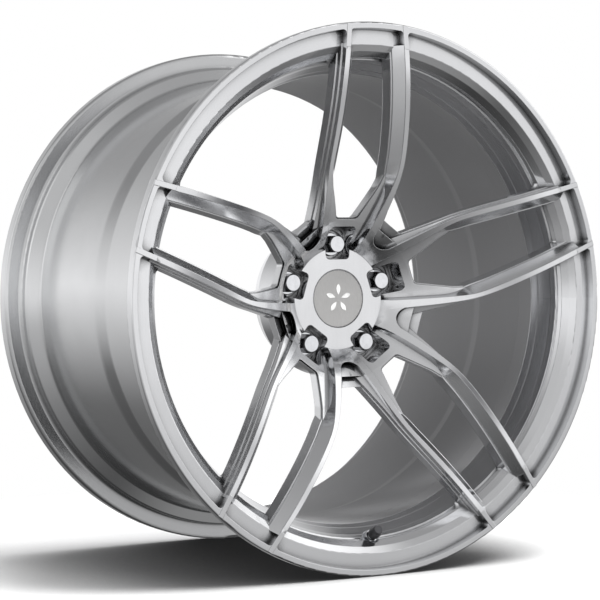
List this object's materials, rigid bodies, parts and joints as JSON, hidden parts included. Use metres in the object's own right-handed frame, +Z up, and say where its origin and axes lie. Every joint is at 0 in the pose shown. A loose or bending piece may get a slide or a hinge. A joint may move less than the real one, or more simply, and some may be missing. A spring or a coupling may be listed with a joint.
{
  "type": "car wheel rim",
  "caption": "Forged racing wheel rim: concave centre with twin spokes, deep barrel, lug bolts, centre cap and clamp-in valve.",
  "frame": {"origin": "centre of the hub bore in the plane of the face that rests on the hub", "axes": "+Z up, wheel axis along Y, open styled face towards -Y, hub side towards +Y, +X to the right seen from the face"},
  "size_m": [0.5474, 0.3252, 0.5474],
  "materials": {
    "polished_aluminium": "polished",
    "polished_barrel": "satin polished",
    "cap_shell": "satin anodised",
    "cap_badge": "satin anodised",
    "spring_steel": "bright drawn",
    "bolt_chrome": "chrome plated",
    "valve_metal": "nickel plated",
    "valve_brass": "bare brass",
    "valve_cap": "moulded black",
    "black_rubber": "moulded rubber"
  },
  "bodies": {
    "wheel": {"wheel_centre": "polished_aluminium", "barrel": "polished_barrel", "valve_stem": "valve_metal", "valve_grommet": "black_rubber", "valve_washer": "valve_metal", "valve_nut": "valve_metal", "valve_core_body": "valve_brass", "valve_core_spring": "spring_steel"},
    "centre_cap": {"centre_cap_shell": "cap_shell", "centre_cap_badge": "cap_badge", "cap_retaining_ring": "spring_steel"},
    "valve_dust_cap": {"valve_cap": "valve_cap", "valve_cap_seal": "black_rubber"},
    "valve_pin": {"valve_core_pin": "valve_brass", "valve_core_seal": "black_rubber"},
    "bolt_1": {"lug_bolt_1": "bolt_chrome"},
    "bolt_2": {"lug_bolt_2": "bolt_chrome"},
    "bolt_3": {"lug_bolt_3": "bolt_chrome"},
    "bolt_4": {"lug_bolt_4": "bolt_chrome"},
    "bolt_5": {"lug_bolt_5": "bolt_chrome"}
  },
  "joints": [
    {"name": "centre_cap_pull", "type": "slide", "parent": "wheel", "child": "centre_cap", "axis": [0, -1, 0], "range_m": [0, 0.04]},
    {"name": "lug_bolt_1_out", "type": "slide", "parent": "wheel", "child": "bolt_1", "axis": [0, -1, 0], "range_m": [0, 0.08]},
    {"name": "lug_bolt_2_out", "type": "slide", "parent": "wheel", "child": "bolt_2", "axis": [0, -1, 0], "range_m": [0, 0.08]},
    {"name": "lug_bolt_3_out", "type": "slide", "parent": "wheel", "child": "bolt_3", "axis": [0, -1, 0], "range_m": [0, 0.08]},
    {"name": "lug_bolt_4_out", "type": "slide", "parent": "wheel", "child": "bolt_4", "axis": [0, -1, 0], "range_m": [0, 0.08]},
    {"name": "lug_bolt_5_out", "type": "slide", "parent": "wheel", "child": "bolt_5", "axis": [0, -1, 0], "range_m": [0, 0.08]},
    {"name": "valve_cap_off", "type": "slide", "parent": "wheel", "child": "valve_dust_cap", "axis": [-0.0044, -0.866, 0.5], "range_m": [0, 0.03]},
    {"name": "valve_core_press", "type": "slide", "parent": "wheel", "child": "valve_pin", "axis": [0.0044, 0.866, -0.5], "range_m": [0, 0.001], "stiffness_N_per_m": 400, "springref_m": -0.0005, "deforming": ["valve_core_spring"]}
  ]
}
